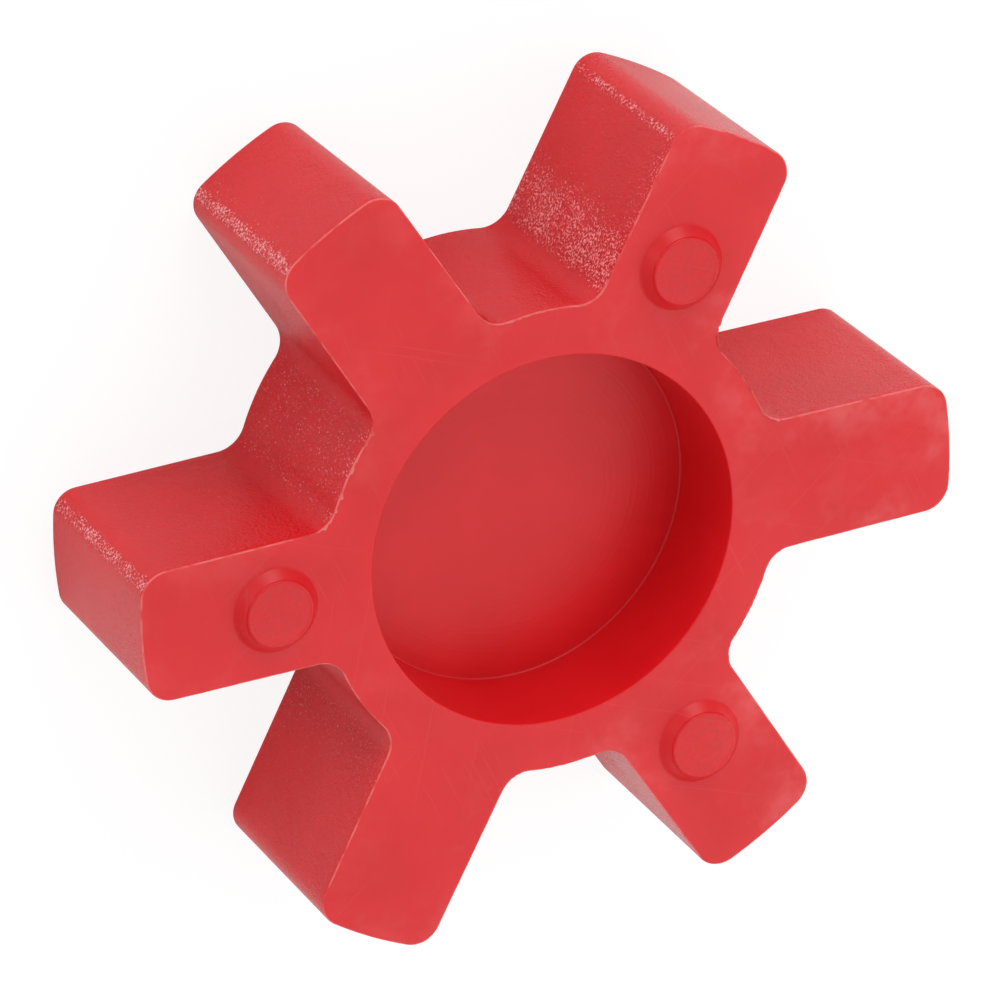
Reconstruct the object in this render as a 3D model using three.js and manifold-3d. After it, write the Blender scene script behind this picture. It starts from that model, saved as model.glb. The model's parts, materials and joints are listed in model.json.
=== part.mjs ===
// Jaw coupling spider: the soft star that sits between the jaws of two coupling hubs
// and carries the torque from one to the other.
// One moulded piece: a hub with a round blind pocket in its front face, straight legs
// all round it, and a low round spacer on the front of every second leg.
// Millimetres, +Z up. The origin is on the axis, on the flat back face, and the
// pocket opens upwards. The first leg lies along +X.

import * as THREE from "three";
import { mergeVertices, toCreasedNormals } from "three/addons/utils/BufferGeometryUtils.js";
import Module from "manifold-3d";

// Hub and legs
const outerDiameter = 44.45; // over the leg tips
const hubDiameter = 24.98; // the round surface that shows between the legs
const legCount = 6;
const legWidth = 6.96; // across the flanks, at the tip
const legFlare = 0.08; // what each flank gains on the way in to the hub
const tipCornerRadius = 1.4;
const rootFilletRadius = 1.5;

// Thickness, and the lean of the side faces that lets the star leave its mould
const bodyThickness = 11.4;
const sideDraft = 0.13; // each side face is this much further in at the back

// Pocket
const pocketWall = 2.6; // between the pocket's rim and the hub's surface
const pocketDepth = 5.35;
const pocketDraft = 0.18; // what the pocket's radius loses down to its floor

// Spacers
const legsPerSpacer = 2;
const spacerHeight = 0.65;
const spacerMargin = 1.13; // between the leg's flank and the spacer's foot
const spacerInset = 0.26; // between the hub's surface and the spacer's foot
const spacerEdgeWidth = 0.7; // the rounded edge round the spacer's flat top

// Fineness of the round stretches, in straight steps
const hubSteps = 8;
const tipSteps = 8;
const cornerSteps = 7;
const filletSteps = 7;
const pocketSteps = 96;
const spacerSteps = 48;
const spacerEdgeSteps = 5;

// Room that a cutter or a joined piece needs past the face that it crosses
const overlap = 0.5;

// Worked out from the above
const outerRadius = outerDiameter / 2;
const hubRadius = hubDiameter / 2;
const legPitch = (2 * Math.PI) / legCount;
const pocketRadius = hubRadius - pocketWall;
const pocketFloor = bodyThickness - pocketDepth;
const spacerRadius = legWidth / 2 - spacerMargin;
const spacerPlace = hubRadius + spacerInset + spacerRadius;

const wasm = await Module();
wasm.setup();

// A point in the plane, at an angle and a distance from a centre
function polar(centre, radius, angle) {
  return new THREE.Vector2(
    centre.x + radius * Math.cos(angle),
    centre.y + radius * Math.sin(angle),
  );
}

// Points along an arc, both ends included
function arc(centre, radius, from, to, steps) {
  const points = [];
  for (let i = 0; i <= steps; i += 1) {
    points.push(polar(centre, radius, from + ((to - from) * i) / steps));
  }
  return points;
}

// Where a line leaves a circle round the axis
function meetCircle(start, direction, radius) {
  const along = start.dot(direction);
  const reach = Math.sqrt(along * along - start.lengthSq() + radius * radius);
  return start.clone().addScaledVector(direction, reach - along);
}

// The upper half of one leg that lies along +X, from its root to its tip, with the
// side faces moved in by inset. The angles say where the arcs start and end.
function halfLeg(inset) {
  const hub = hubRadius - inset;
  const tip = outerRadius - inset;
  const root = new THREE.Vector2(hub, legWidth / 2 + legFlare - inset);
  const end = new THREE.Vector2(tip, legWidth / 2 - inset);
  const along = end.clone().sub(root).normalize();
  const outward = new THREE.Vector2(-along.y, along.x);

  // The widest fillet that still leaves the hub's surface showing between two legs
  const gapSine = Math.sin(legPitch / 2);
  const widestFillet = (hub * gapSine - root.y) / (1 - gapSine);
  const fillet = Math.min(rootFilletRadius, 0.95 * widestFillet);
  const corner = Math.min(tipCornerRadius, 0.95 * end.y);

  const cornerCentre = meetCircle(root.clone().addScaledVector(outward, -corner), along, tip - corner);
  const filletCentre = meetCircle(root.clone().addScaledVector(outward, fillet), along, hub + fillet);
  return {
    hub,
    tip,
    corner,
    fillet,
    cornerCentre,
    filletCentre,
    flankAngle: outward.angle(),
    tipAngle: cornerCentre.angle(),
    rootAngle: filletCentre.angle(),
  };
}

// The star's outline, anticlockwise, with its side faces moved in by inset
function starOutline(inset) {
  const leg = halfLeg(inset);
  const axis = new THREE.Vector2(0, 0);
  const below = (point) => new THREE.Vector2(point.x, -point.y);

  const lowerFillet = arc(
    below(leg.filletCentre),
    leg.fillet,
    Math.PI - leg.rootAngle,
    Math.PI - leg.flankAngle,
    filletSteps,
  );
  const lowerCorner = arc(below(leg.cornerCentre), leg.corner, -leg.flankAngle, -leg.tipAngle, cornerSteps);
  const tipArc = arc(axis, leg.tip, -leg.tipAngle, leg.tipAngle, tipSteps).slice(1, -1);
  const upperCorner = lowerCorner.map(below).reverse();
  const upperFillet = lowerFillet.map(below).reverse();
  const hubArc = arc(axis, leg.hub, leg.rootAngle, legPitch - leg.rootAngle, hubSteps).slice(1, -1);
  const oneLeg = [...lowerFillet, ...lowerCorner, ...tipArc, ...upperCorner, ...upperFillet, ...hubArc];

  const outline = [];
  for (let i = 0; i < legCount; i += 1) {
    for (const point of oneLeg) {
      outline.push(point.clone().rotateAround(axis, i * legPitch));
    }
  }
  return outline;
}

// A closed prism between two outlines with as many points each
function loft(lowOutline, lowZ, highOutline, highZ) {
  const count = lowOutline.length;
  const positions = [];
  for (const point of lowOutline) positions.push(point.x, point.y, lowZ);
  for (const point of highOutline) positions.push(point.x, point.y, highZ);

  const index = [];
  for (let i = 0; i < count; i += 1) {
    const next = (i + 1) % count;
    index.push(i, next, count + next, i, count + next, count + i);
  }
  for (const [a, b, c] of THREE.ShapeUtils.triangulateShape(lowOutline, [])) {
    index.push(c, b, a);
  }
  for (const [a, b, c] of THREE.ShapeUtils.triangulateShape(highOutline, [])) {
    index.push(count + a, count + b, count + c);
  }

  const geometry = new THREE.BufferGeometry();
  geometry.setAttribute("position", new THREE.Float32BufferAttribute(positions, 3));
  geometry.setIndex(index);
  return geometry;
}

// A solid turned round +Z, from a profile of [radius, height] that starts and ends on the axis
function turned(profile, steps) {
  const points = profile.map(([radius, height]) => new THREE.Vector2(radius, height));
  return new THREE.LatheGeometry(points, steps).rotateX(Math.PI / 2);
}

// A geometry as a solid that can be joined and cut
function toSolid(geometry) {
  const bare = geometry.clone();
  bare.deleteAttribute("normal");
  bare.deleteAttribute("uv");
  const merged = mergeVertices(bare);
  const corners = merged.index.array;
  const triangles = [];
  for (let i = 0; i < corners.length; i += 3) {
    const [a, b, c] = [corners[i], corners[i + 1], corners[i + 2]];
    if (a !== b && b !== c && c !== a) triangles.push(a, b, c);
  }
  return new wasm.Manifold(
    new wasm.Mesh({
      numProp: 3,
      vertProperties: new Float32Array(merged.attributes.position.array),
      triVerts: new Uint32Array(triangles),
    }),
  );
}

// A finished solid as a geometry with sharp edges kept sharp
function toGeometry(solid) {
  const mesh = solid.getMesh();
  const geometry = new THREE.BufferGeometry();
  geometry.setAttribute("position", new THREE.Float32BufferAttribute(mesh.vertProperties, 3));
  geometry.setIndex(Array.from(mesh.triVerts));
  return toCreasedNormals(geometry, Math.PI / 6);
}

function star() {
  return toSolid(loft(starOutline(sideDraft), 0, starOutline(0), bodyThickness));
}

// What is taken out for the pocket: its wall runs on at the same slope above the rim
function pocketCut() {
  const slope = pocketDraft / pocketDepth;
  return toSolid(
    turned(
      [
        [0, pocketFloor],
        [pocketRadius - pocketDraft, pocketFloor],
        [pocketRadius + slope * overlap, bodyThickness + overlap],
        [0, bodyThickness + overlap],
      ],
      pocketSteps,
    ),
  );
}

// One spacer: a flat disc with a rounded edge, let into the leg below its foot
function spacer(angle) {
  const topRadius = spacerRadius - spacerEdgeWidth;
  const profile = [
    [0, bodyThickness - overlap],
    [spacerRadius, bodyThickness - overlap],
  ];
  for (let i = 0; i <= spacerEdgeSteps; i += 1) {
    const turn = (i / spacerEdgeSteps) * (Math.PI / 2);
    profile.push([
      topRadius + spacerEdgeWidth * Math.cos(turn),
      bodyThickness + spacerHeight * Math.sin(turn),
    ]);
  }
  profile.push([0, bodyThickness + spacerHeight]);
  const place = polar(new THREE.Vector2(0, 0), spacerPlace, angle);
  return toSolid(turned(profile, spacerSteps).translate(place.x, place.y, 0));
}

function spider() {
  let solid = star().subtract(pocketCut());
  for (let i = 1; i < legCount; i += legsPerSpacer) {
    solid = solid.add(spacer(i * legPitch));
  }
  return toGeometry(solid);
}

const urethane = new THREE.MeshStandardMaterial({
  name: "urethane",
  color: 0xc9272d,
  roughness: 0.42,
  metalness: 0,
});

const spiderMesh = new THREE.Mesh(spider(), urethane);
spiderMesh.name = "spider";

const group = new THREE.Group();
group.name = "jaw_coupling_spider";
group.add(spiderMesh);

export default group;
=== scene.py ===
"""A jaw coupling spider moulded in red urethane, laid out as a Blender add-on.

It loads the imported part, models the finished spider in its place, with the mould's flash, its
rounded edges and its sunk flanks, gives it a grained and a smooth finish, and sets up a plain
studio round it. Everything is in metres, +Z up, and the origin is on the axis, on the back face.
"""

import json
import math

import bmesh
import bpy
from bpy.props import FloatProperty, FloatVectorProperty, IntProperty, PointerProperty
from mathutils import Matrix, Vector

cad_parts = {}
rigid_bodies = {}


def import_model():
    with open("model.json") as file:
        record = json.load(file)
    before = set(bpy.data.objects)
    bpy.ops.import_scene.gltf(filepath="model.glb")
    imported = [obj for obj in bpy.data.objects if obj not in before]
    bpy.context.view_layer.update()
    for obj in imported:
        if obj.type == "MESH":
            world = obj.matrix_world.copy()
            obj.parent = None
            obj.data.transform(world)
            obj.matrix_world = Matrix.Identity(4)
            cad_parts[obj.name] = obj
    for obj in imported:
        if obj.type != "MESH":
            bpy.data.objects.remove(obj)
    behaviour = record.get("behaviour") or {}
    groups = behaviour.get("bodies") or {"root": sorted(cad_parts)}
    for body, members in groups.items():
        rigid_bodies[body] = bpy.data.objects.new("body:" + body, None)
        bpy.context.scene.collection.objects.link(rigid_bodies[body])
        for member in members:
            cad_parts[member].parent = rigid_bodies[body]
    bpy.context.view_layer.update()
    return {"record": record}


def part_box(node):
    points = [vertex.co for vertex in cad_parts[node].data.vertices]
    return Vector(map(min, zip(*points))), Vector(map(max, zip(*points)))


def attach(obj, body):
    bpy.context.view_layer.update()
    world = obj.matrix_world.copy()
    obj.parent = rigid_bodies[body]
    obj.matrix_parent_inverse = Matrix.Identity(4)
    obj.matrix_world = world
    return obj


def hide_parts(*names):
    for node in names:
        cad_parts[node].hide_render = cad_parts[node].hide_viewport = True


bl_info = {
    "name": "Jaw coupling spider",
    "version": (1, 0, 0),
    "blender": (4, 5, 0),
    "location": "3D View > Sidebar > Spider",
    "description": "Models a moulded urethane coupling spider and its studio",
    "category": "Object",
}

NODE = "spider"
MM = 0.001

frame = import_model()
low_corner, high_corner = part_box(NODE)
mounts = {mount["name"]: mount["pos_m"] for mount in frame["record"]["mounts"]}


class SpiderSizes(bpy.types.PropertyGroup):
    """The sizes of the moulded spider."""

    outer_diameter: FloatProperty(
        name="Outer diameter",
        description="Over the ends of the legs",
        default=high_corner.x - low_corner.x,
        subtype="DISTANCE",
    )
    hub_diameter: FloatProperty(
        name="Hub diameter",
        description="The round surface that shows between the legs",
        default=24.98 * MM,
        subtype="DISTANCE",
    )
    leg_count: IntProperty(name="Legs", description="Legs round the hub", default=6, min=3)
    leg_width: FloatProperty(
        name="Leg width",
        description="Across the flanks, at the tip",
        default=6.96 * MM,
        subtype="DISTANCE",
    )
    leg_flare: FloatProperty(
        name="Leg flare",
        description="What each flank gains on the way in to the hub",
        default=0.08 * MM,
        subtype="DISTANCE",
    )
    tip_radius: FloatProperty(
        name="Tip corner radius",
        description="Rounding of the leg's two outer corners",
        default=1.4 * MM,
        subtype="DISTANCE",
    )
    root_radius: FloatProperty(
        name="Root fillet radius",
        description="Fillet between a flank and the hub",
        default=1.5 * MM,
        subtype="DISTANCE",
    )
    thickness: FloatProperty(
        name="Body thickness",
        description="From the back face to the front face",
        default=mounts["front_face"][2],
        subtype="DISTANCE",
    )
    draft: FloatProperty(
        name="Side draft",
        description="How much further in the side faces are at the back",
        default=0.13 * MM,
        subtype="DISTANCE",
    )
    pocket_radius: FloatProperty(
        name="Pocket radius",
        description="At the pocket's rim",
        default=9.89 * MM,
        subtype="DISTANCE",
    )
    pocket_floor: FloatProperty(
        name="Pocket floor",
        description="Height of the pocket's floor over the back face",
        default=mounts["pocket_floor"][2],
        subtype="DISTANCE",
    )
    pocket_draft: FloatProperty(
        name="Pocket draft",
        description="What the pocket's radius loses down to its floor",
        default=0.18 * MM,
        subtype="DISTANCE",
    )
    spacer_place: FloatProperty(
        name="Spacer place",
        description="From the axis to the middle of a spacer",
        default=abs(mounts["spacer_top"][0]),
        subtype="DISTANCE",
    )
    spacer_top: FloatProperty(
        name="Spacer top",
        description="Height of the spacers' flat tops over the back face",
        default=mounts["spacer_top"][2],
        subtype="DISTANCE",
    )
    spacer_radius: FloatProperty(
        name="Spacer radius",
        description="At the spacer's foot",
        default=2.35 * MM,
        subtype="DISTANCE",
    )
    spacer_edge: FloatProperty(
        name="Spacer edge width",
        description="The rounded edge round the spacer's flat top",
        default=0.7 * MM,
        subtype="DISTANCE",
    )
    spacer_slope: FloatProperty(
        name="Spacer slope",
        description="Slope of the spacer's side",
        default=math.radians(56),
        subtype="ANGLE",
    )
    edge_rounding: FloatProperty(
        name="Edge rounding",
        description="Radius of the edges that the mould leaves nearly sharp",
        default=0.07 * MM,
        subtype="DISTANCE",
    )
    flash_height: FloatProperty(
        name="Flash height",
        description="How far the ragged flash stands up along the front edge, at most",
        default=0.42 * MM,
        subtype="DISTANCE",
    )
    flank_sink: FloatProperty(
        name="Flank sink",
        description="How far the middle of a flank shrinks in as the urethane cures",
        default=0.07 * MM,
        subtype="DISTANCE",
    )


class SpiderFinish(bpy.types.PropertyGroup):
    """The colours and the surface of the red urethane."""

    body_red: FloatVectorProperty(
        name="Red",
        description="The colour of the urethane",
        default=(0.76, 0.010, 0.016),
        subtype="COLOR",
        size=3,
        min=0,
        max=1,
    )
    deep_red: FloatVectorProperty(
        name="Deep red",
        description="The colour where the pigment lies denser",
        default=(0.70, 0.007, 0.012),
        subtype="COLOR",
        size=3,
        min=0,
        max=1,
    )
    # Pale red: the colour of the scratches and the whitened flash, and also of the painted glow on the front
    # face and the flash
    pale_glow_and_wear_red: FloatVectorProperty(
        name="Pale red",
        description="The colour where the surface is rubbed or stretched",
        default=(0.86, 0.17, 0.17),
        subtype="COLOR",
        size=3,
        min=0,
        max=1,
    )
    spacer_red: FloatVectorProperty(
        name="Spacer top",
        description="The duller colour of the spacers' rough tops",
        default=(0.60, 0.022, 0.026),
        subtype="COLOR",
        size=3,
        min=0,
        max=1,
    )
    # Painted glints: a pale colour painted on the tops of the grain where lamp glints would show
    painted_glint: FloatVectorProperty(
        name="Grain tips",
        description="The colour of the bright tips of the grain",
        default=(1.0, 0.42, 0.44),
        subtype="COLOR",
        size=3,
        min=0,
        max=1,
    )
    # Painted shade: a darker red painted in the grain's troughs, between the painted glints
    painted_trough_shade: FloatVectorProperty(
        name="Grain troughs",
        description="The colour between the tips of the grain",
        default=(0.50, 0.002, 0.006),
        subtype="COLOR",
        size=3,
        min=0,
        max=1,
    )
    grain_size: FloatProperty(
        name="Grain size",
        description="From one grain of the side faces to the next",
        default=0.12 * MM,
        subtype="DISTANCE",
    )
    grain_depth: FloatProperty(
        name="Grain depth",
        description="Depth of the grain on the side faces",
        default=0.05 * MM,
        subtype="DISTANCE",
    )


class SpiderStudio(bpy.types.PropertyGroup):
    """Where the camera and the lamps stand."""

    aim: FloatVectorProperty(
        name="Aim",
        description="The point that the camera looks at",
        default=(-0.245 * MM, -0.043 * MM, 5.7 * MM),
        subtype="XYZ",
        unit="LENGTH",
        size=3,
    )
    distance: FloatProperty(
        name="Distance",
        description="From the camera to its aim",
        default=422.57 * MM,
        subtype="DISTANCE",
    )
    heading: FloatProperty(
        name="Heading",
        description="Way that the camera looks, from +Y towards +X",
        default=math.radians(139.231),
        subtype="ANGLE",
    )
    elevation: FloatProperty(
        name="Elevation",
        description="Height of the camera over the horizon, as an angle",
        default=math.radians(55.372),
        subtype="ANGLE",
    )
    roll: FloatProperty(
        name="Roll",
        description="Turn of the camera about its line of sight",
        default=math.radians(-130.852),
        subtype="ANGLE",
    )
    lens: FloatProperty(
        name="Lens",
        description="Focal length in millimetres, on a sensor 36 mm wide",
        default=303.96,
        min=1,
    )
    sky: FloatProperty(
        name="Sky",
        description="Strength of the even light from all round",
        default=0.71,
        min=0,
    )
    key_power: FloatProperty(
        name="Key lamp",
        description="Power of the large soft lamp that lies in the front face's reflection",
        default=0.265,
        min=0,
        unit="POWER",
    )
    fill_power: FloatProperty(
        name="Fill lamp",
        description="Power of the wide low lamp on the other side",
        default=1.15,
        min=0,
        unit="POWER",
    )
    rim_power: FloatProperty(
        name="Rim lamp",
        description="Power of the small low lamp that catches the grain",
        default=0.06,
        min=0,
        unit="POWER",
    )


def outward(angle, length):
    """A flat vector of that length at that angle from +X."""
    return Vector((length * math.cos(angle), length * math.sin(angle), 0))


class Pen:
    """Draws edges in the mesh that is being edited, on from one point, with extrude and spin."""

    def __init__(self, point):
        self.point = Vector(point)
        bpy.ops.mesh.select_mode(type="VERT")
        bpy.ops.mesh.select_all(action="DESELECT")
        bpy.ops.mesh.primitive_circle_add(vertices=3, radius=MM, location=self.point)
        bpy.ops.mesh.merge(type="CENTER")

    def line(self, point, steps=1):
        """A straight stretch to a point, in as many edges as steps."""
        move = (Vector(point) - self.point) / steps
        for _ in range(steps):
            bpy.ops.mesh.extrude_region_move(TRANSFORM_OT_translate={"value": move})
        self.point = Vector(point)

    def arc(self, centre, angle, steps, axis=(0, 0, 1)):
        """An arc about a centre, anticlockwise about the axis where the angle is positive."""
        bpy.ops.mesh.spin(steps=steps, angle=-angle, center=centre, axis=axis)
        turn = Matrix.Rotation(angle, 3, axis)
        self.point = Vector(centre) + turn @ (self.point - Vector(centre))

    def bow(self, point, angle, steps, axis=(0, 0, 1)):
        """An arc to a point that turns by an angle on the way."""
        chord = Vector(point) - self.point
        middle = self.point + chord / 2
        centre = middle + Vector(axis).cross(chord) / (2 * math.tan(angle / 2))
        self.arc(centre, angle, steps, axis)


def pick(kind, test):
    """Selects, in the mesh that is being edited, just the parts of one kind that pass a test."""
    mesh = bmesh.from_edit_mesh(bpy.context.edit_object.data)
    bpy.ops.mesh.select_all(action="DESELECT")
    bpy.ops.mesh.select_mode(type={"verts": "VERT", "edges": "EDGE", "faces": "FACE"}[kind])
    found = [part for part in getattr(mesh, kind) if not part.hide and test(part)]
    for part in found:
        part.select_set(True)
    mesh.select_flush_mode()
    bmesh.update_edit_mesh(bpy.context.edit_object.data)
    if not found:
        raise RuntimeError(f"no {kind} were found to work on")


def begin_piece(name):
    """Makes an empty piece at the origin and opens it for editing."""
    bpy.ops.object.select_all(action="DESELECT")
    bpy.ops.mesh.primitive_circle_add(vertices=3, radius=MM, location=(0, 0, 0))
    piece = bpy.context.object
    piece.name = name
    piece.data.name = name
    bpy.ops.object.mode_set(mode="EDIT")
    bpy.ops.mesh.delete(type="VERT")
    return piece


# How finely the piece is stepped
HUB_STEPS = 10
FILLET_STEPS = 12
FLANK_STEPS = 22
CORNER_STEPS = 12
TIP_STEPS = 18
WALL_STEPS = 24
POCKET_STEPS = 192
POCKET_WALL_STEPS = 10
POCKET_FLOOR_STEPS = 8
SPACER_STEPS = 96
SPACER_BEND_STEPS = 7
SPACER_SIDE_STEPS = 4
SPACER_TOP_STEPS = 5
EDGE_STEPS = 4

# The flash: how often and how much of its crest is nudged up, what share of the full height it
# has along each stretch of the front edge, and where the high stretch round the hub ends
FLASH_NUDGES = 8
FLASH_PICKED = 0.25
FLASH_SEED = 7
FLASH_HIGH = 1.0
FLASH_LOW = 0.2
FLASH_ON_LEGS = 0.1
FLASH_END = math.radians(175)

# Small shapes that the mould leaves
POCKET_FILLET = 0.1 * MM
SPACER_FOOT_RADIUS = 0.22 * MM
SPACER_EDGE_RADIUS = 0.16 * MM
SPACER_LIP = 0.06 * MM
SINK_REACH = 3.6 * MM

# Flat margin beside a rounded edge, which keeps the flat face's shading flat
MARGIN = 0.03 * MM

# Points nearer than this count as one, and edges sharper than this stay sharp
DOUBLES = 0.002 * MM
SMOOTH_ANGLE = math.radians(35)

# Axes that arcs turn about: the spider's own, and the one across an upright profile
UP = (0, 0, 1)
ACROSS = (0, 1, 0)

# The finish: the way that the walls with the most painted glints face, the side of the spider where
# they have the most, and the side of the front face where the painted glow is strongest
GLINT_WAY = tuple(outward(math.radians(145), 1))
GLINT_SIDE = tuple(outward(math.radians(120), 1))
GLOW_SIDE = tuple(outward(math.radians(-10), 1))
SMOOTH_ROUGHNESS = 0.38
GRAINED_ROUGHNESS = 0.24
FLASH_ROUGHNESS = 0.35
# The least share of painted glints on any wall, and how far the glint mask lifts the grain towards the
# painted glint colour
LEAST_GLINT = 0.05
GLINT_GAIN = 0.29
GLOW_STRENGTH = 0.5
SCRATCH_STRENGTH = 0.13
SPACER_DULLNESS = 0.4
SCRATCH_WIDTH = 0.05 * MM
SCRATCH_LENGTH = 14 * MM
SCRATCH_SHARE = 0.1

# The angle of each family of long scratches, and from one scratch to the next
SCRATCH_FAMILIES = (
    (math.radians(21), 2.2 * MM),
    (math.radians(-38), 3.1 * MM),
    (math.radians(104), 2.6 * MM),
)

# The studio: the floor's radius and grey, the strength of its white, what shares of that white
# the camera and reflections see, what share of the sky reflections see, and the camera's sensor
# and clipping distances
FLOOR_RADIUS = 1.5
FLOOR_GREY = 0.85
FLOOR_WHITE = 1.1
FLOOR_SHOWN = 0.78
FLOOR_MIRRORED = 0.1
SKY_MIRRORED = 0.45
SENSOR_WIDTH = 36
NEAREST_SEEN = 0.01
FURTHEST_SEEN = 20

# Each lamp's azimuth and elevation as the spider sees it, its distance and its two sides
LAMPS = {
    "key": (math.radians(-42), math.radians(52), 0.3, (0.35, 0.35)),
    "fill": (math.radians(80), math.radians(25), 0.7, (0.35, 0.35)),
    "rim": (math.radians(147), math.radians(8), 0.3, (0.04, 0.04)),
}


def leg_layout(sizes):
    """Where the arcs of a leg along +X have their centres, and at what angles they meet."""
    hub = sizes.hub_diameter / 2
    tip = sizes.outer_diameter / 2
    root = Vector((hub, sizes.leg_width / 2 + sizes.leg_flare, 0))
    end = Vector((tip, sizes.leg_width / 2, 0))
    along = (end - root).normalized()
    across = Vector((-along.y, along.x, 0))

    def meet_circle(start, radius):
        reach = start.dot(along)
        return start + along * (math.sqrt(reach**2 - start.length_squared + radius**2) - reach)

    corner = meet_circle(root - across * sizes.tip_radius, tip - sizes.tip_radius)
    fillet = meet_circle(root + across * sizes.root_radius, hub + sizes.root_radius)
    return {
        "corner": corner,
        "fillet": fillet,
        "across": across,
        "flank_angle": math.atan2(across.y, across.x),
        "tip_angle": math.atan2(corner.y, corner.x),
        "root_angle": math.atan2(fillet.y, fillet.x),
    }


def draw_star(sizes):
    """Draws the star's outline in the plane where the side faces end and the front edge begins."""
    leg = leg_layout(sizes)
    half_pitch = math.pi / sizes.leg_count
    level = Vector((0, 0, sizes.thickness - sizes.edge_rounding))
    below = {name: Vector((leg[name].x, -leg[name].y, 0)) for name in ("corner", "fillet", "across")}
    hub_turn = half_pitch - leg["root_angle"]
    fillet_turn = leg["flank_angle"] - leg["root_angle"]
    corner_turn = leg["flank_angle"] - leg["tip_angle"]

    pen = Pen(outward(-half_pitch, sizes.hub_diameter / 2) + level)
    pen.arc(level, hub_turn, HUB_STEPS)
    pen.arc(below["fillet"] + level, -fillet_turn, FILLET_STEPS)
    pen.line(below["corner"] + below["across"] * sizes.tip_radius + level, FLANK_STEPS)
    pen.arc(below["corner"] + level, corner_turn, CORNER_STEPS)
    pen.arc(level, 2 * leg["tip_angle"], TIP_STEPS)
    pen.arc(leg["corner"] + level, corner_turn, CORNER_STEPS)
    pen.line(leg["fillet"] - leg["across"] * sizes.root_radius + level, FLANK_STEPS)
    pen.arc(leg["fillet"] + level, -fillet_turn, FILLET_STEPS)
    pen.arc(level, hub_turn, HUB_STEPS)

    copies = sizes.leg_count - 1
    bpy.ops.mesh.select_all(action="SELECT")
    bpy.ops.mesh.spin(steps=copies, dupli=True, angle=-2 * half_pitch * copies, center=(0, 0, 0), axis=UP)
    close_doubles()
    bpy.ops.mesh.edge_face_add()


def close_doubles():
    """Merges the points that lie on each other, and leaves all selected."""
    bpy.ops.mesh.select_all(action="SELECT")
    bpy.ops.mesh.remove_doubles(threshold=DOUBLES)


def round_over(radius):
    """Insets the selected face over a rounded edge, and by a flat margin past it."""
    angles = [math.pi / 2 * step / EDGE_STEPS for step in range(EDGE_STEPS + 1)]
    for start, end in zip(angles, angles[1:]):
        bpy.ops.mesh.inset(
            thickness=radius * (math.cos(start) - math.cos(end)),
            depth=radius * (math.sin(end) - math.sin(start)),
        )
    bpy.ops.mesh.inset(thickness=MARGIN, depth=0)


def face_way(up):
    """Turns the selected face to look up or down."""
    mesh = bmesh.from_edit_mesh(bpy.context.edit_object.data)
    face = next(face for face in mesh.faces if face.select)
    if (face.normal.z > 0) != up:
        bpy.ops.mesh.flip_normals()


def raise_walls(sizes):
    """Insets the star's face step by step down to the back face, then rounds the front edge."""
    fall = sizes.thickness - 2 * sizes.edge_rounding
    face_way(up=False)
    for _ in range(WALL_STEPS):
        bpy.ops.mesh.inset(thickness=sizes.draft / WALL_STEPS, depth=fall / WALL_STEPS)
    round_over(sizes.edge_rounding)

    top = sizes.thickness - sizes.edge_rounding
    pick("edges", lambda edge: edge.is_boundary and all(near(v.co.z, top) for v in edge.verts))
    bpy.ops.mesh.edge_face_add()
    pick("faces", lambda face: len(face.verts) > 4 and near(face.calc_center_median().z, top))
    face_way(up=True)
    round_over(sizes.edge_rounding)
    bpy.ops.mesh.delete(type="ONLY_FACE")


def near(value, target):
    """Whether two lengths are the same, but for rounding."""
    return abs(value - target) < DOUBLES


def turn_profile(axis_point, steps):
    """Spins the selected profile all the way round an upright axis and closes its seam."""
    bpy.ops.mesh.select_linked()
    bpy.ops.mesh.spin(steps=steps, angle=-2 * math.pi, center=axis_point, axis=UP)


def sink_pocket(sizes):
    """Turns the blind pocket: its rounded rim, its drafted wall, a tight fillet and its floor."""
    rim = sizes.pocket_radius
    edge = sizes.edge_rounding
    depth = sizes.thickness - sizes.pocket_floor
    slope = math.atan2(sizes.pocket_draft, depth)
    floor_radius = rim - sizes.pocket_draft
    fillet = POCKET_FILLET

    pen = Pen((rim + edge + MARGIN, 0, sizes.thickness))
    pen.line((rim + edge, 0, sizes.thickness))
    pen.arc((rim + edge, 0, sizes.thickness - edge), slope - math.pi / 2, EDGE_STEPS, axis=ACROSS)
    pen.line((floor_radius + fillet * slope, 0, sizes.pocket_floor + fillet), POCKET_WALL_STEPS)
    pen.arc((pen.point.x - fillet, 0, pen.point.z), math.pi / 2, EDGE_STEPS, axis=ACROSS)
    pen.line((pen.point.x - MARGIN, 0, sizes.pocket_floor))
    pen.line((0, 0, sizes.pocket_floor), POCKET_FLOOR_STEPS)
    turn_profile((0, 0, 0), POCKET_STEPS)


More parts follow.
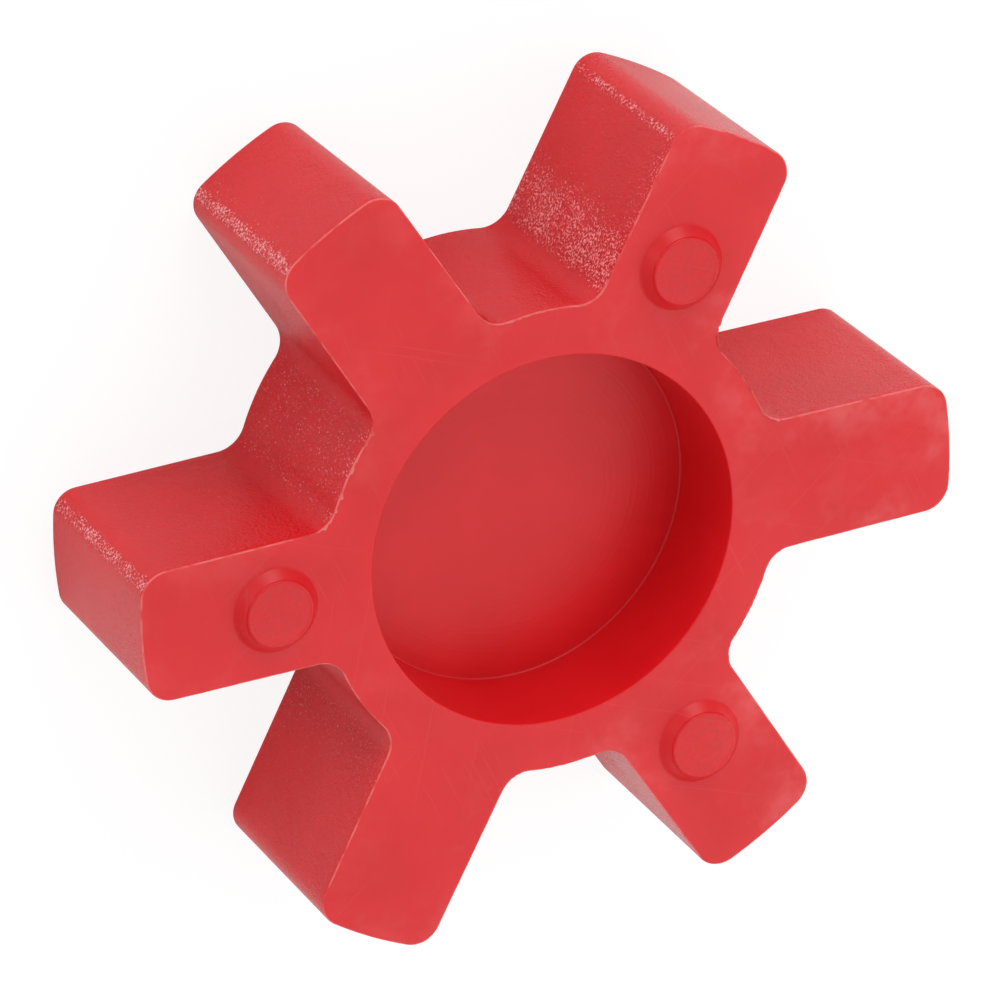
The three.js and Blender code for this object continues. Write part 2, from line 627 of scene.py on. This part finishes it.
def add_spacers(sizes):
    """Turns one spacer with a thin lip round its flat top, then copies it onto every second leg."""
    pitch = 2 * math.pi / sizes.leg_count
    height = sizes.spacer_top - sizes.thickness
    middle = outward(math.pi, sizes.spacer_place)
    foot = sizes.spacer_radius

    level = middle + Vector((0, 0, sizes.thickness))
    slope = sizes.spacer_slope
    bend = Vector((-math.sin(slope), 0, 1 - math.cos(slope)))
    crest = level + Vector((foot - sizes.spacer_edge, 0, height))
    pen = Pen(level + Vector((foot + MARGIN, 0, 0)))
    pen.line(level + Vector((foot, 0, 0)))
    pen.bow(pen.point + bend * SPACER_FOOT_RADIUS, slope, SPACER_BEND_STEPS, axis=ACROSS)
    pen.line(crest + Vector((-bend.x, 0, -bend.z)) * SPACER_EDGE_RADIUS, SPACER_SIDE_STEPS)
    pen.bow(crest, -slope, SPACER_BEND_STEPS, axis=ACROSS)
    pen.line(crest + Vector((-SPACER_LIP, 0, -SPACER_LIP / 2)))
    pen.line(pen.point - Vector((MARGIN, 0, 0)))
    pen.line(Vector((level.x, 0, pen.point.z)), SPACER_TOP_STEPS)
    turn_profile(middle, SPACER_STEPS)
    bpy.ops.mesh.select_linked()
    copies = sizes.leg_count // 2 - 1
    bpy.ops.mesh.spin(steps=copies, dupli=True, angle=-2 * pitch * copies, center=(0, 0, 0), axis=UP)
    close_doubles()


def close_front(sizes):
    """Fills the flat front face between the star's edge, the pocket and the spacers."""
    pick("edges", lambda edge: edge.is_boundary and all(near(v.co.z, sizes.thickness) for v in edge.verts))
    bpy.ops.mesh.fill(use_beauty=True)
    close_doubles()
    bpy.ops.mesh.normals_make_consistent(inside=False)


def raise_flash(sizes):
    """Pulls the crest of the front edge up into a ragged flash, high round one side of the hub."""
    crest = sizes.thickness - sizes.edge_rounding * (1 - math.sin(math.pi / 4))
    hub_zone = sizes.hub_diameter / 2 + 0.8 * sizes.root_radius
    rim = sizes.pocket_radius + 2 * sizes.edge_rounding

    def flash_share(point):
        if point.xy.length > hub_zone:
            return FLASH_ON_LEGS
        return FLASH_HIGH if 0 < math.atan2(point.y, point.x) < FLASH_END else FLASH_LOW

    def on_crest(point):
        return near(point.z, crest) and point.xy.length > rim

    for share in (FLASH_HIGH, FLASH_LOW, FLASH_ON_LEGS):
        pick("verts", lambda v: on_crest(v.co) and flash_share(v.co) == share)
        bpy.ops.mesh.hide(unselected=True)
        rise = share * sizes.flash_height / FLASH_NUDGES
        for step in range(FLASH_NUDGES):
            bpy.ops.mesh.select_all(action="DESELECT")
            bpy.ops.mesh.select_random(ratio=FLASH_PICKED, seed=FLASH_SEED + step, action="SELECT")
            if step % 2:
                bpy.ops.mesh.select_more()
            bpy.ops.transform.translate(value=(0, 0, rise))
        bpy.ops.mesh.reveal(select=False)


def sink_flanks(sizes):
    """Draws the middle of each flank in a little, as cured urethane shrinks."""
    leg = leg_layout(sizes)
    pitch = 2 * math.pi / sizes.leg_count
    reach = (leg["corner"].x + leg["fillet"].x) / 2
    for index in range(sizes.leg_count):
        turn = Matrix.Rotation(index * pitch, 3, "Z")
        for side in (1, -1):
            across = turn @ Vector((leg["across"].x, side * leg["across"].y, 0))
            middle = turn @ Vector((reach, side * sizes.leg_width / 2, sizes.thickness / 2))
            pull_in(middle, -across * sizes.flank_sink, SINK_REACH)


def pull_in(place, move, reach):
    """Moves the point nearest to a place, and what lies round it with it."""
    mesh = bmesh.from_edit_mesh(bpy.context.edit_object.data)
    nearest = min((v.co - place).length for v in mesh.verts)
    pick("verts", lambda v: (v.co - place).length <= nearest)
    bpy.ops.transform.translate(
        value=move,
        use_proportional_edit=True,
        proportional_edit_falloff="SMOOTH",
        proportional_size=reach,
    )


def model_spider(sizes):
    """The whole spider as one closed mesh."""
    piece = begin_piece("spider_body")
    draw_star(sizes)
    raise_walls(sizes)
    sink_pocket(sizes)
    add_spacers(sizes)
    close_front(sizes)
    raise_flash(sizes)
    sink_flanks(sizes)
    bpy.ops.object.mode_set(mode="OBJECT")
    bpy.ops.object.shade_smooth_by_angle(angle=SMOOTH_ANGLE)
    return piece


def add(tree, kind, inputs=None, **settings):
    """Adds a node, sets it, and gives its inputs values or joins them to other nodes' outputs."""
    node = tree.nodes.new(kind)
    for name, value in settings.items():
        setattr(node, name, value)
    for name, value in (inputs or {}).items():
        if isinstance(value, bpy.types.NodeSocket):
            tree.links.new(value, node.inputs[name])
        else:
            node.inputs[name].default_value = value
    return node


def maths(tree, operation, first, second=0.0):
    """A number worked out from one or two others."""
    return add(tree, "ShaderNodeMath", {0: first, 1: second}, operation=operation).outputs[0]


def ramped(tree, value, start, end, low=0.0, high=1.0):
    """A number taken smoothly from one range to another."""
    inputs = {"Value": value, "From Min": start, "From Max": end, "To Min": low, "To Max": high}
    return add(tree, "ShaderNodeMapRange", inputs, interpolation_type="SMOOTHSTEP").outputs[0]


def noise(tree, place, size, detail=2.0, roughness=0.5):
    """Soft noise whose features have about that size in metres."""
    inputs = {"Vector": place, "Scale": 1 / size, "Detail": detail, "Roughness": roughness}
    return add(tree, "ShaderNodeTexNoise", inputs).outputs["Fac"]


def mixed(tree, factor, first, second):
    """A colour between two others."""
    node = add(tree, "ShaderNodeMix", {0: factor, 6: first, 7: second}, data_type="RGBA")
    return node.outputs[2]


def bumped(tree, height, depth, below=None):
    """A surface raised by a height of nought to one times a depth in metres."""
    inputs = {"Height": height, "Distance": depth, "Strength": 1.0}
    if below is not None:
        inputs["Normal"] = below
    return add(tree, "ShaderNodeBump", inputs).outputs["Normal"]


def urethane(name, finish, roughness):
    """Cast red urethane with soft mottling and a little light passing under its surface."""
    material = bpy.data.materials.new(name)
    material.use_nodes = True
    tree = material.node_tree
    tree.nodes.clear()
    place = add(tree, "ShaderNodeTexCoord").outputs["Object"]
    clouds = ramped(tree, noise(tree, place, 6 * MM, detail=3.0), 0.3, 0.7)
    colour = mixed(tree, clouds, (*finish.deep_red, 1), (*finish.body_red, 1))
    inputs = {
        "Base Color": colour,
        "Roughness": roughness,
        "IOR": 1.46,
        "Subsurface Weight": 0.25,
        "Subsurface Radius": (1.0, 0.12, 0.08),
        "Subsurface Scale": 1.6 * MM,
    }
    shader = add(tree, "ShaderNodeBsdfPrincipled", inputs)
    output = add(tree, "ShaderNodeOutputMaterial")
    tree.links.new(shader.outputs["BSDF"], output.inputs["Surface"])
    return tree, shader, place, colour


def reach_from_axis(tree, place):
    """How far a point lies from the spider's axis."""
    flat = add(tree, "ShaderNodeVectorMath", {0: place, 1: (1, 1, 0)}, operation="MULTIPLY")
    return add(tree, "ShaderNodeVectorMath", {0: flat.outputs[0]}, operation="LENGTH").outputs["Value"]


def edge_gap(tree, place, sizes):
    """How far a point of the front face lies from the outline of the leg it is nearest to."""
    pitch = 2 * math.pi / sizes.leg_count
    parts = add(tree, "ShaderNodeSeparateXYZ", {"Vector": place}).outputs
    angle = maths(tree, "ARCTAN2", parts["Y"], parts["X"])
    leg = maths(tree, "ROUND", maths(tree, "DIVIDE", angle, pitch))
    off = maths(tree, "SUBTRACT", angle, maths(tree, "MULTIPLY", leg, pitch))
    reach = reach_from_axis(tree, place)
    aside = maths(tree, "ABSOLUTE", maths(tree, "MULTIPLY", reach, maths(tree, "SINE", off)))
    to_flank = maths(tree, "SUBTRACT", sizes.leg_width / 2, aside)
    to_hub = maths(tree, "SUBTRACT", sizes.hub_diameter / 2, reach)
    to_tip = maths(tree, "SUBTRACT", sizes.outer_diameter / 2, reach)
    return maths(tree, "MINIMUM", to_tip, maths(tree, "MAXIMUM", to_flank, to_hub))


def stripes(tree, across, spacing, width):
    """Thin lines at uneven distances of about a spacing: one on a line, nought beside it."""
    inputs = {"W": across, "Scale": 1 / spacing}
    lines = add(tree, "ShaderNodeTexVoronoi", inputs, voronoi_dimensions="1D").outputs["Distance"]
    return ramped(tree, lines, 0.0, width / spacing, 1.0, 0.0)


def hairlines(tree, place, angle, spacing, length, share):
    """Straight fine scratches at an angle, broken so that about that share of their length shows."""
    turned = add(tree, "ShaderNodeVectorRotate", {"Vector": place, "Angle": angle}, rotation_type="Z_AXIS")
    across = add(tree, "ShaderNodeSeparateXYZ", {"Vector": turned.outputs[0]}).outputs["Y"]
    scale = (1 / length, 1 / spacing, 1 / length)
    cells = add(tree, "ShaderNodeVectorMath", {0: turned.outputs[0], 1: scale}, operation="MULTIPLY")
    breaks = add(tree, "ShaderNodeTexNoise", {"Vector": cells.outputs[0], "Scale": 1.0, "Detail": 1.0})
    shown = ramped(tree, breaks.outputs["Fac"], 0.62 - share, 0.74 - share)
    return maths(tree, "MULTIPLY", stripes(tree, across, spacing, SCRATCH_WIDTH), shown)


def grained_urethane(finish, sizes):
    """The side faces, with grain bumps, and painted glints with painted shade between them on the walls that
    face one way.
    """
    tree, shader, place, colour = urethane("urethane_grained", finish, GRAINED_ROUGHNESS)
    grains = noise(tree, place, finish.grain_size, detail=1.5)
    # Mask of the painted glints and painted shade: walls facing the glint way, more on one side, at the
    # roots, the leg ends and near the front
    normal = add(tree, "ShaderNodeNewGeometry").outputs["Normal"]
    towards = add(tree, "ShaderNodeVectorMath", {0: normal, 1: GLINT_WAY}, operation="DOT_PRODUCT")
    facing_glint_way = ramped(tree, towards.outputs["Value"], math.cos(math.radians(25)), math.cos(math.radians(5)))
    reach = reach_from_axis(tree, place)
    height = add(tree, "ShaderNodeSeparateXYZ", {"Vector": place}).outputs["Z"]
    on_side = add(tree, "ShaderNodeVectorMath", {0: place, 1: GLINT_SIDE}, operation="DOT_PRODUCT")
    side = ramped(tree, on_side.outputs["Value"], -8 * MM, 3 * MM, 0.2, 1.0)
    at_root = ramped(tree, reach, 14 * MM, 18.5 * MM, 1.0, 0.0)
    on_leg = ramped(tree, reach, 12.7 * MM, 13.8 * MM, 0.45, 1.0)
    at_root = maths(tree, "MULTIPLY", at_root, on_leg)
    at_end = ramped(tree, reach, 20.6 * MM, 21.4 * MM)
    at_front = ramped(tree, height, sizes.thickness - 3 * MM, sizes.thickness, 0.0, 0.6)
    zone = maths(tree, "MAXIMUM", maths(tree, "MAXIMUM", at_root, at_end), at_front)
    zone = ramped(tree, zone, 0.0, 1.0, 0.1, 1.0)
    patches = ramped(tree, noise(tree, place, 1.6 * MM, detail=3.0), 0.3, 0.6, 0.65, 1.0)
    share = facing_glint_way
    for factor in (side, zone, patches):
        share = maths(tree, "MULTIPLY", share, factor)
    share = maths(tree, "MAXIMUM", share, LEAST_GLINT)

    # Painted glints: the grain's tops painted pale where the mask is strong
    glint_level = maths(tree, "ADD", grains, maths(tree, "MULTIPLY", share, GLINT_GAIN))
    tip = ramped(tree, glint_level, 0.72, 1.0)
    # Painted shade: the grain's troughs painted darker red under the same mask
    trough_shade = maths(tree, "MULTIPLY", ramped(tree, grains, 0.36, 0.54, 0.8, 0.0), share)
    colour = mixed(tree, trough_shade, colour, (*finish.painted_trough_shade, 1))
    tree.links.new(mixed(tree, tip, colour, (*finish.painted_glint, 1)), shader.inputs["Base Color"])

    swell = bumped(tree, noise(tree, place, 2.5 * MM), 0.04 * MM)
    wrinkled = bumped(tree, noise(tree, place, 0.35 * MM, detail=2.0), 0.05 * MM, swell)
    tree.links.new(bumped(tree, grains, finish.grain_depth, wrinkled), shader.inputs["Normal"])
    return bpy.data.materials["urethane_grained"]


def smooth_urethane(finish, sizes):
    """The front face, the pocket and the back, cast smooth, with fine scratches and a pale haze that is
    painted light, brighter near the legs' outline and towards one side.
    """
    tree, shader, place, colour = urethane("urethane_smooth", finish, SMOOTH_ROUGHNESS)
    reach = reach_from_axis(tree, place)
    height = add(tree, "ShaderNodeSeparateXYZ", {"Vector": place}).outputs["Z"]
    on_front = ramped(tree, height, sizes.thickness - 0.1 * MM, sizes.thickness)
    on_spacer = ramped(tree, height, sizes.spacer_top - 0.12 * MM, sizes.spacer_top - 0.05 * MM)
    in_pocket = ramped(tree, reach, sizes.pocket_radius - 0.3 * MM, sizes.pocket_radius, 1.0, 0.0)

    # Painted glow: pale colour painted near the legs' outline in patches, stronger towards one side, as
    # light through the edges and light falling more on that side
    gap = edge_gap(tree, place, sizes)
    glow_patches = ramped(tree, noise(tree, place, 4.5 * MM, detail=4.0, roughness=0.65), 0.46, 0.7, 0.12, 1.0)
    painted_glow = maths(tree, "MULTIPLY", ramped(tree, gap, 0.0, 2.4 * MM, 1.0, 0.2), glow_patches)
    on_side = add(tree, "ShaderNodeVectorMath", {0: place, 1: GLOW_SIDE}, operation="DOT_PRODUCT")
    side = ramped(tree, on_side.outputs["Value"], -12 * MM, 20 * MM, 0.3, 1.0)
    painted_glow = maths(tree, "MULTIPLY", maths(tree, "MULTIPLY", painted_glow, side), GLOW_STRENGTH)
    crazed = ramped(tree, noise(tree, place, 3.5 * MM, detail=2.0), 0.45, 0.62)
    lines = hairlines(tree, place, math.radians(68), 0.4 * MM, 5 * MM, 0.12)
    lines = maths(tree, "MULTIPLY", lines, crazed)
    for angle, spacing in SCRATCH_FAMILIES:
        family = hairlines(tree, place, angle, spacing, SCRATCH_LENGTH, SCRATCH_SHARE)
        lines = maths(tree, "MAXIMUM", lines, family)
    lines = maths(tree, "MULTIPLY", lines, SCRATCH_STRENGTH)
    # The painted glow and the scratches together, on the front face only
    glow_and_scratches = maths(tree, "MULTIPLY", maths(tree, "MAXIMUM", painted_glow, lines), on_front)
    colour = mixed(tree, glow_and_scratches, colour, (*finish.pale_glow_and_wear_red, 1))
    dull = ramped(tree, noise(tree, place, 0.5 * MM, detail=3.0), 0.35, 0.65, 0.0, SPACER_DULLNESS)
    dull = maths(tree, "MULTIPLY", dull, on_spacer)
    colour = mixed(tree, dull, colour, (*finish.spacer_red, 1))
    tree.links.new(colour, shader.inputs["Base Color"])

    swell = bumped(tree, noise(tree, place, 3 * MM), 0.01 * MM)
    pits = maths(tree, "MULTIPLY", noise(tree, place, 0.3 * MM), on_spacer)
    pitted = bumped(tree, pits, 0.05 * MM, swell)
    rings = maths(tree, "MULTIPLY", stripes(tree, reach, 0.5 * MM, 0.1 * MM), in_pocket)
    turned = bumped(tree, rings, 0.002 * MM, pitted)
    tree.links.new(turned, shader.inputs["Normal"])
    return bpy.data.materials["urethane_smooth"]


def flash_urethane(finish, sizes):
    """The thin flash along the front edge, paler in patches: whitened urethane and a painted glow of light
    through it.
    """
    tree, shader, place, colour = urethane("urethane_flash", finish, FLASH_ROUGHNESS)
    flash_glow_and_whitening = ramped(tree, noise(tree, place, 1.2 * MM, detail=4.0), 0.36, 0.58, 0.15, 0.85)
    tree.links.new(mixed(tree, flash_glow_and_whitening, colour, (*finish.pale_glow_and_wear_red, 1)), shader.inputs["Base Color"])
    tree.links.new(bumped(tree, noise(tree, place, 0.25 * MM), 0.03 * MM), shader.inputs["Normal"])
    return bpy.data.materials["urethane_flash"]


def wear_finish(piece, sizes, finish):
    """Gives the side faces the grained finish, the front edge the flash's, the rest the smooth one."""
    for make in (smooth_urethane, grained_urethane, flash_urethane):
        piece.data.materials.append(make(finish, sizes))
    bpy.context.view_layer.objects.active = piece
    bpy.ops.object.mode_set(mode="EDIT")
    edge = sizes.thickness - sizes.edge_rounding
    outside = sizes.pocket_radius + 2 * sizes.edge_rounding
    step = 4 * math.pi / sizes.leg_count
    spacers = [outward(math.pi + i * step, sizes.spacer_place) for i in range(sizes.leg_count // 2)]

    def clear_of_spacers(point):
        return all((point.xy - middle.xy).length > sizes.spacer_radius + MARGIN for middle in spacers)

    def is_wall(face):
        middle = face.calc_center_median()
        upright = abs(face.normal.z) < 0.5
        return upright and sizes.edge_rounding < middle.z < edge and middle.xy.length > outside

    def is_flash(face):
        middle = face.calc_center_median()
        flat = face.normal.z > 0.999
        return middle.z > edge and not flat and middle.xy.length > outside and clear_of_spacers(middle)

    for index, test in ((1, is_wall), (2, is_flash)):
        pick("faces", test)
        piece.active_material_index = index
        bpy.ops.object.material_slot_assign()
    bpy.ops.object.mode_set(mode="OBJECT")


class SPIDER_OT_body(bpy.types.Operator):
    """Model the spider in one piece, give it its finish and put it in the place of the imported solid"""

    bl_idname = "spider.body"
    bl_label = "Spider body"
    bl_options = {"REGISTER", "UNDO"}

    def execute(self, context):
        sizes = context.scene.spider_sizes
        piece = model_spider(sizes)
        wear_finish(piece, sizes, context.scene.spider_finish)
        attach(piece, "root")
        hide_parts(NODE)
        return {"FINISHED"}


def build_camera(studio):
    """Stands the camera at the photograph's viewing angle and turns it about its line of sight."""
    level = Vector((math.sin(studio.heading), math.cos(studio.heading), 0))
    forward = level * math.cos(studio.elevation) - Vector(UP) * math.sin(studio.elevation)
    right = forward.cross(Vector(UP)).normalized()
    above = right.cross(forward)
    up = above * math.cos(studio.roll) + right * math.sin(studio.roll)
    place = Vector(studio.aim) - forward * studio.distance
    bpy.ops.object.camera_add(location=place)
    camera = bpy.context.object
    camera.name = "studio_camera"
    turn = Matrix((forward.cross(up), up, -forward)).transposed()
    camera.rotation_euler = turn.to_euler()
    camera.data.lens = studio.lens
    camera.data.sensor_width = SENSOR_WIDTH
    camera.data.clip_start = NEAREST_SEEN
    camera.data.clip_end = FURTHEST_SEEN
    bpy.context.scene.camera = camera


def add_lamp(name, power):
    """Adds a rectangular lamp in its place, turned to the spider."""
    azimuth, elevation, distance, sides = LAMPS[name]
    way = outward(azimuth, math.cos(elevation)) + Vector(UP) * math.sin(elevation)
    turn = way.to_track_quat("Z", "Y").to_euler()
    bpy.ops.object.light_add(type="AREA", location=way * distance, rotation=turn)
    lamp = bpy.context.object
    lamp.name = f"{name}_lamp"
    lamp.data.shape = "RECTANGLE"
    lamp.data.size, lamp.data.size_y = sides
    lamp.data.energy = power


def seen_directly(tree, camera_share, mirror_share):
    """One number for the camera, another for reflections, and nought for other light."""
    path = add(tree, "ShaderNodeLightPath")
    seen = maths(tree, "MULTIPLY", path.outputs["Is Camera Ray"], camera_share)
    for name in ("Is Glossy Ray", "Is Transmission Ray"):
        share = maths(tree, "MULTIPLY", path.outputs[name], mirror_share)
        seen = maths(tree, "MAXIMUM", seen, share)
    return seen


def build_floor():
    """A plain pale floor that shows nearly white and still keeps the spider's shadow."""
    bpy.ops.mesh.primitive_circle_add(vertices=64, radius=FLOOR_RADIUS, fill_type="NGON", location=(0, 0, 0))
    floor = bpy.context.object
    floor.name = "studio_floor"
    material = bpy.data.materials.new("pale_floor")
    material.use_nodes = True
    tree = material.node_tree
    tree.nodes.clear()
    matt = add(tree, "ShaderNodeBsdfDiffuse", {"Color": (FLOOR_GREY, FLOOR_GREY, FLOOR_GREY, 1)})
    white = add(tree, "ShaderNodeEmission", {"Color": (1, 1, 1, 1), "Strength": FLOOR_WHITE})
    mix = add(tree, "ShaderNodeMixShader", {"Fac": seen_directly(tree, FLOOR_SHOWN, FLOOR_MIRRORED)})
    tree.links.new(matt.outputs[0], mix.inputs[1])
    tree.links.new(white.outputs[0], mix.inputs[2])
    output = add(tree, "ShaderNodeOutputMaterial")
    tree.links.new(mix.outputs[0], output.inputs["Surface"])
    floor.data.materials.append(material)


def build_sky(studio):
    """Even white light from all round, and plain white where it is seen."""
    world = bpy.data.worlds.new("studio_sky")
    bpy.context.scene.world = world
    world.use_nodes = True
    tree = world.node_tree
    tree.nodes.clear()
    glossy = add(tree, "ShaderNodeLightPath").outputs["Is Glossy Ray"]
    sky = ramped(tree, glossy, 0.0, 1.0, studio.sky, studio.sky * SKY_MIRRORED)
    strength = maths(tree, "MAXIMUM", seen_directly(tree, 1.0, 0.0), sky)
    background = add(tree, "ShaderNodeBackground", {"Color": (1, 1, 1, 1), "Strength": strength})
    output = add(tree, "ShaderNodeOutputWorld")
    tree.links.new(background.outputs[0], output.inputs["Surface"])


class SPIDER_OT_studio(bpy.types.Operator):
    """Set up the camera, the floor, the lamps and the sky"""

    bl_idname = "spider.studio"
    bl_label = "Studio"
    bl_options = {"REGISTER", "UNDO"}

    def execute(self, context):
        studio = context.scene.spider_studio
        build_camera(studio)
        build_floor()
        build_sky(studio)
        add_lamp("key", studio.key_power)
        add_lamp("fill", studio.fill_power)
        add_lamp("rim", studio.rim_power)
        context.scene.view_settings.view_transform = "Standard"
        return {"FINISHED"}


class SPIDER_PT_panel(bpy.types.Panel):
    """Lists the pieces and the sizes, colours and lamps that shape them"""

    bl_idname = "SPIDER_PT_panel"
    bl_label = "Coupling spider"
    bl_space_type = "VIEW_3D"
    bl_region_type = "UI"
    bl_category = "Spider"

    def draw(self, context):
        layout = self.layout
        for name, operator in (("sizes", None), ("finish", SPIDER_OT_body), ("studio", SPIDER_OT_studio)):
            group = getattr(context.scene, f"spider_{name}")
            box = layout.box()
            for entry in group.bl_rna.properties:
                if entry.identifier not in ("rna_type", "name"):
                    box.prop(group, entry.identifier)
            if operator:
                box.operator(operator.bl_idname)


GROUPS = {"sizes": SpiderSizes, "finish": SpiderFinish, "studio": SpiderStudio}
CLASSES = (*GROUPS.values(), SPIDER_OT_body, SPIDER_OT_studio, SPIDER_PT_panel)


def register():
    """Registers the classes and hangs the groups of settings on the scene."""
    for cls in CLASSES:
        bpy.utils.register_class(cls)
    for name, group in GROUPS.items():
        setattr(bpy.types.Scene, f"spider_{name}", PointerProperty(type=group))


def unregister():
    """Takes the groups of settings and the classes away again."""
    for name in GROUPS:
        delattr(bpy.types.Scene, f"spider_{name}")
    for cls in reversed(CLASSES):
        bpy.utils.unregister_class(cls)


def main():
    """Builds the spider and its studio."""
    register()
    bpy.ops.spider.body()
    bpy.ops.spider.studio()


if __name__ == "__main__":
    main()
